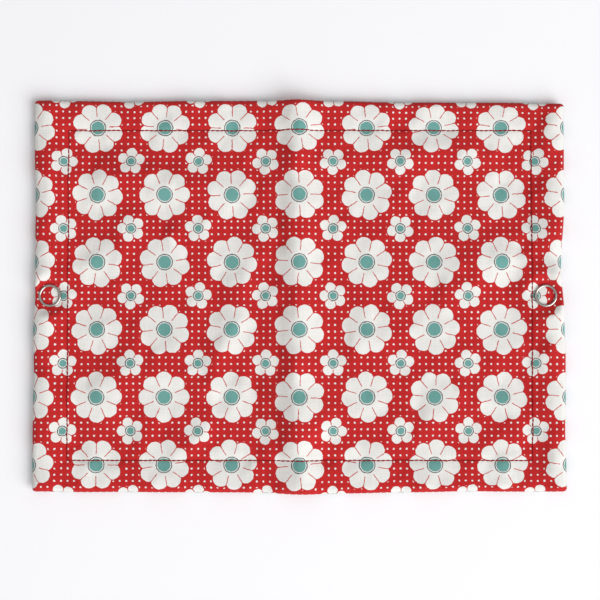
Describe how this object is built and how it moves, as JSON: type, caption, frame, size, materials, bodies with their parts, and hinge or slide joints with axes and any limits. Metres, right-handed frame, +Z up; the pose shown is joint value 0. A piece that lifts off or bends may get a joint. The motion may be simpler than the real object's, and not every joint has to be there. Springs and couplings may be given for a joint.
{
  "type": "thread keeper folder",
  "caption": "Padded cloth folder that opens like a book, with a hemmed print cover, lined pocket panels inside and an open-ring snap at its ends.",
  "frame": {"origin": "on the surface the open folder lies on, under the middle of its outline", "axes": "+X from the back half to the front half, square to the fold; +Y to the top edge, along the fold; +Z up, out of the cover's outside"},
  "size_m": [0.254, 0.188, 0.0074],
  "materials": {
    "printed_cotton": "plain-woven quilting cotton, red ground with a cream flower print",
    "fleece": "needled fleece wadding",
    "lining_cotton": "plain-woven cream cotton",
    "pocket_cotton": "plain-woven teal cotton",
    "red_thread": "dark red sewing thread",
    "pale_thread": "cream sewing thread",
    "nickelled_steel": "bright nickel plate",
    "spring_steel": "bare spring wire"
  },
  "bodies": {
    "back_half": {"back_cover": "printed_cotton", "back_fleece": "fleece", "back_lining": "lining_cotton", "back_pocket": "pocket_cotton", "back_topstitching": "red_thread", "back_bobbin_thread": "red_thread", "back_pocket_seam_1": "pale_thread", "back_pocket_seam_2": "pale_thread", "back_pocket_seam_3": "pale_thread", "back_pocket_seam_4": "pale_thread", "back_snap_ring": "nickelled_steel", "snap_socket": "nickelled_steel", "snap_spring": "spring_steel"},
    "front_half": {"front_cover": "printed_cotton", "front_fleece": "fleece", "front_lining": "lining_cotton", "front_pocket": "pocket_cotton", "front_topstitching": "red_thread", "front_bobbin_thread": "red_thread", "front_pocket_seam_1": "pale_thread", "front_pocket_seam_2": "pale_thread", "front_pocket_seam_3": "pale_thread", "front_pocket_seam_4": "pale_thread", "front_snap_ring": "nickelled_steel", "snap_stud": "nickelled_steel"}
  },
  "joints": [
    {"name": "fold", "type": "hinge", "parent": "back_half", "child": "front_half", "pos_m": [-0.0007, 0, 0.0007], "axis": [0, 1, 0], "range_deg": [0, 180]}
  ]
}
